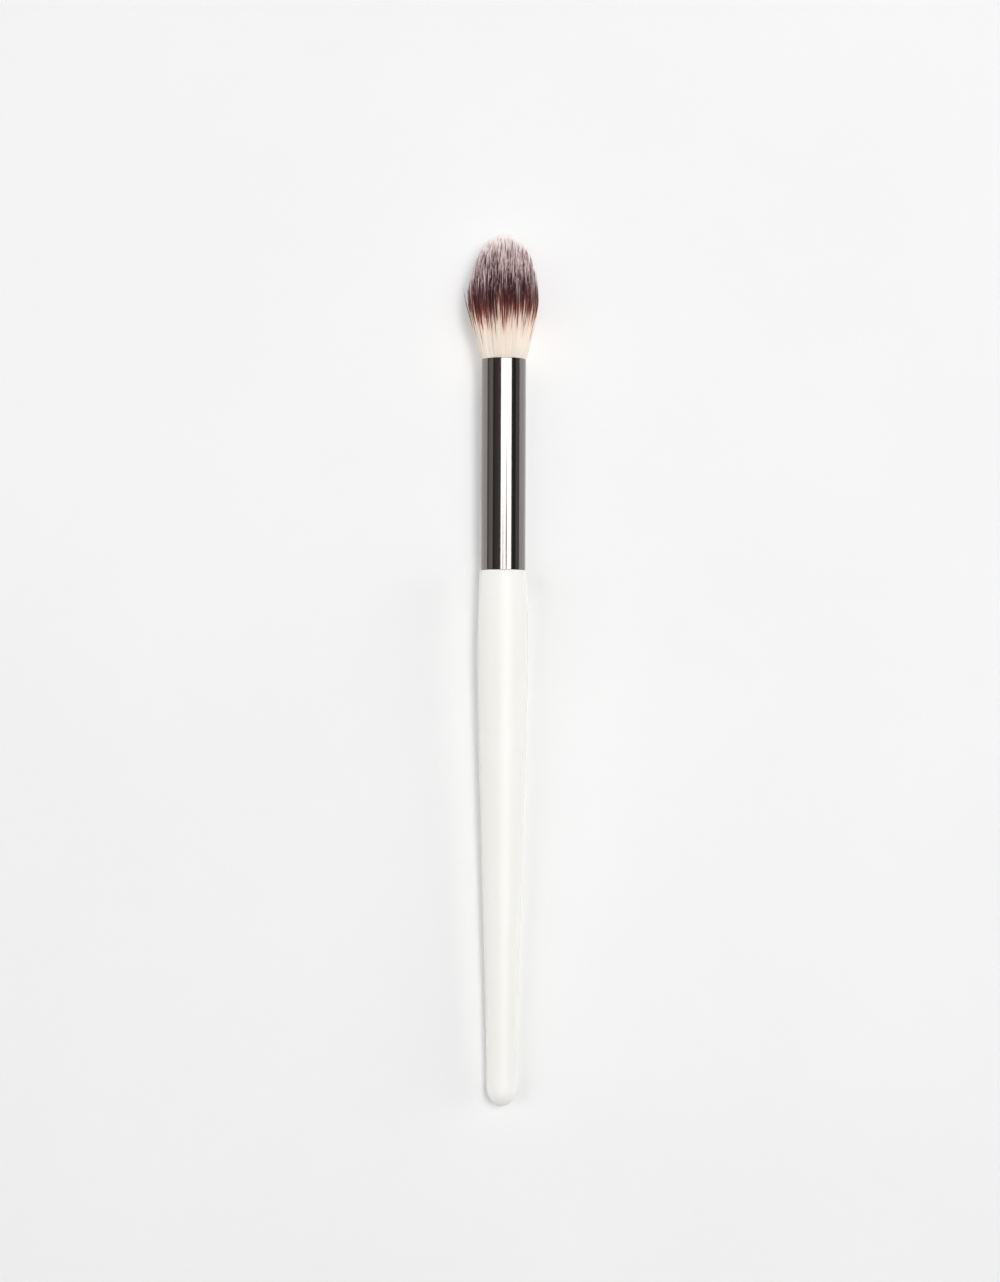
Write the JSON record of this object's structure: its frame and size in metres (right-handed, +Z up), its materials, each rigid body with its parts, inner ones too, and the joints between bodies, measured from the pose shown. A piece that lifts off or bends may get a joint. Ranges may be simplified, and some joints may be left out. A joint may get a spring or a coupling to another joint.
{
  "type": "eyeshadow brush",
  "caption": "Round eyeshadow blending brush lying on its side: tapered white gloss handle, straight gunmetal ferrule and a domed dip-dyed bristle tuft for blending powder.",
  "frame": {"origin": "on the table the brush lies on, under the middle of its bounding box", "axes": "+Y along the brush from the tail of the handle towards the bristle tips, +Z up from the table, +X to the right with the bristles pointing away"},
  "size_m": [0.0138, 0.17, 0.0138],
  "materials": {
    "birch": "turned, bare",
    "white_lacquer": "high gloss",
    "gunmetal": "polished, dark plated",
    "wood_glue": "dried glue",
    "bristle": "dip-dyed synthetic filament",
    "thread": "plain thread",
    "epoxy": "cast, amber"
  },
  "bodies": {
    "root": {"handle_core": "birch", "handle_lacquer": "white_lacquer", "ferrule": "gunmetal", "tenon_glue": "wood_glue", "bristle_tuft": "bristle", "knot_thread": "thread", "knot_epoxy": "epoxy"}
  },
  "joints": []
}
